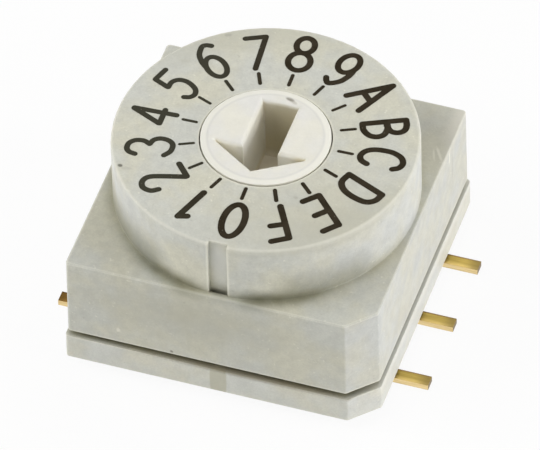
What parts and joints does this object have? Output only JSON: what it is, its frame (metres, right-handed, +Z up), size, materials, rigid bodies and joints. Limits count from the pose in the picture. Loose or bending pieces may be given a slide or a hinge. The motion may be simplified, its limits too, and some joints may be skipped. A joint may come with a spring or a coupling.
{
  "type": "rotary switch",
  "caption": "Surface-mounted coded rotary switch: square moulded housing, round dial collar, rotor with an arrow slot, and flat gold-plated solder feet on two sides.",
  "frame": {"origin": "centre of the switch on the seating plane, at the undersides of the solder feet", "axes": "+Z up along the rotor's axis, +X across the switch along the solder feet, -Y to the front, where the collar's keyway and the dial's 0 are"},
  "size_m": [0.012, 0.01, 0.0067],
  "materials": {
    "housing_plastic": "pale warm grey moulded thermoplastic, fine matt texture",
    "rotor_plastic": "off-white moulded thermoplastic, satin",
    "lead_gold": "thin gold plating on copper alloy strip",
    "contact_gold": "gold-plated spring alloy",
    "spring_steel": "bright cold-rolled spring steel",
    "seal_rubber": "black nitrile rubber",
    "resin": "cast epoxy resin, dark brown"
  },
  "bodies": {
    "body": {"housing": "housing_plastic", "base": "housing_plastic", "terminal_1": "lead_gold", "terminal_common_left": "lead_gold", "terminal_4": "lead_gold", "terminal_2": "lead_gold", "terminal_common_right": "lead_gold", "terminal_8": "lead_gold", "contact_spring_1": "contact_gold", "contact_spring_common_left": "contact_gold", "contact_spring_4": "contact_gold", "contact_spring_2": "contact_gold", "contact_spring_common_right": "contact_gold", "contact_spring_8": "contact_gold", "detent_spring_front": "spring_steel", "detent_spring_back": "spring_steel", "gasket": "seal_rubber", "sealing_resin": "resin"},
    "rotor": {"rotor": "rotor_plastic", "code_disc": "contact_gold", "rotor_seal": "seal_rubber"}
  },
  "joints": [
    {"name": "rotor_turn", "type": "hinge", "parent": "body", "child": "rotor", "pos_m": [0, 0, 0.004], "axis": [0, 0, 1], "continuous": true, "deforming": ["detent_spring_front", "detent_spring_back"]}
  ]
}
